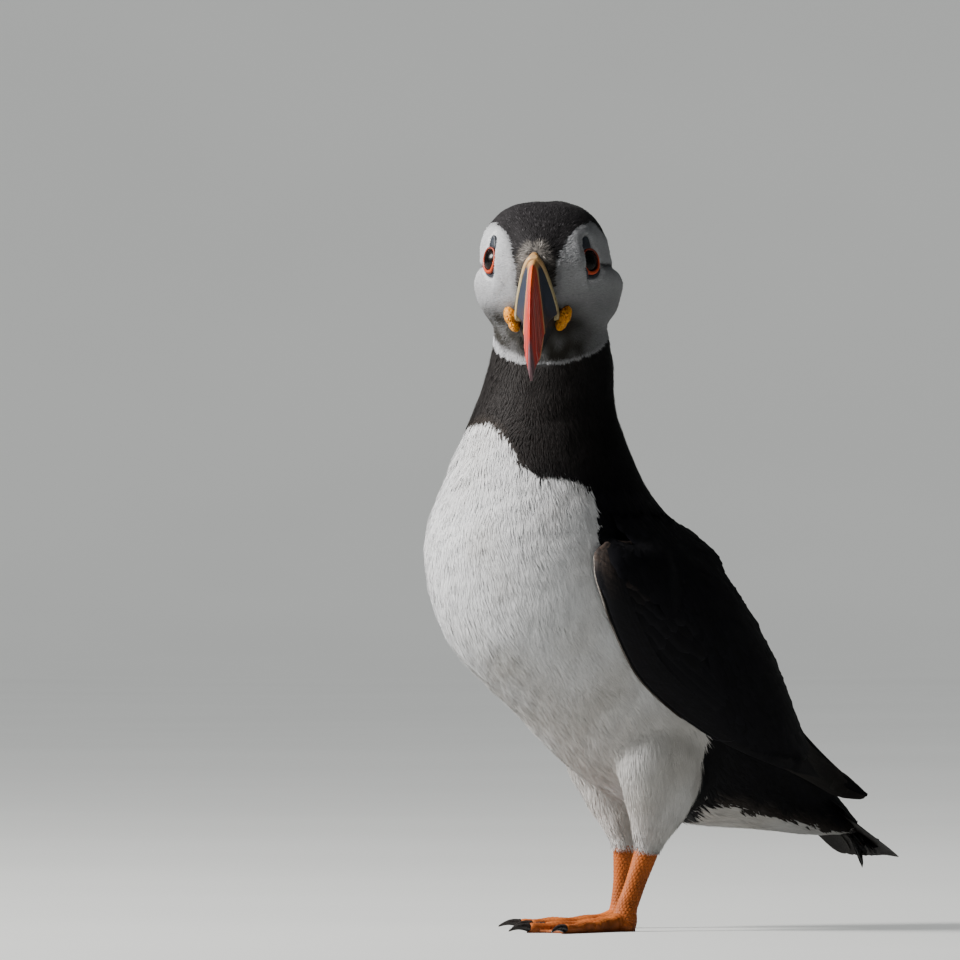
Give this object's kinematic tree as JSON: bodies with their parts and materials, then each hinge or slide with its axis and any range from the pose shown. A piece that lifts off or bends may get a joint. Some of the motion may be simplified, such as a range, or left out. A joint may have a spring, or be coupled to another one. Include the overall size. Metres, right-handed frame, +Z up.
{
  "type": "atlantic puffin",
  "caption": "Life-size Atlantic puffin in breeding dress, standing upright on webbed feet with folded wings and its head turned to its left.",
  "frame": {"origin": "on the floor, at the bottom centre of the bird's bounding box", "axes": "+Z up, the trunk faces -Y, +X is the bird's left"},
  "size_m": [0.0912, 0.1736, 0.2403],
  "materials": {
    "plumage_black": "soft, close feathers, black with a faint sheen",
    "plumage_white": "soft, close feathers, matte white",
    "plumage_face": "very short feathers, pale grey with a black cap",
    "eye": "wet and glossy",
    "bill_red": "grooved horn, waxy",
    "bill_slate": "horn, waxy",
    "cere": "pitted horn, matte",
    "rosette": "wrinkled fleshy skin",
    "leg_skin": "scaled skin, slightly moist",
    "claw": "smooth horn"
  },
  "bodies": {
    "root": {"bill_lower": "bill_slate", "bill_upper": "bill_red", "cere": "cere", "claw_left_inner": "claw", "claw_left_middle": "claw", "claw_left_outer": "claw", "claw_right_inner": "claw", "claw_right_middle": "claw", "claw_right_outer": "claw", "eye_left": "eye", "eye_right": "eye", "foot_left": "leg_skin", "foot_right": "leg_skin", "head": "plumage_face", "neck": "plumage_black", "rosette_left": "rosette", "rosette_right": "rosette", "shank_left": "leg_skin", "shank_right": "leg_skin", "tail": "plumage_black", "thigh_left": "plumage_white", "thigh_right": "plumage_white", "trunk": "plumage_white", "wing_left": "plumage_black", "wing_right": "plumage_black"}
  },
  "joints": []
}
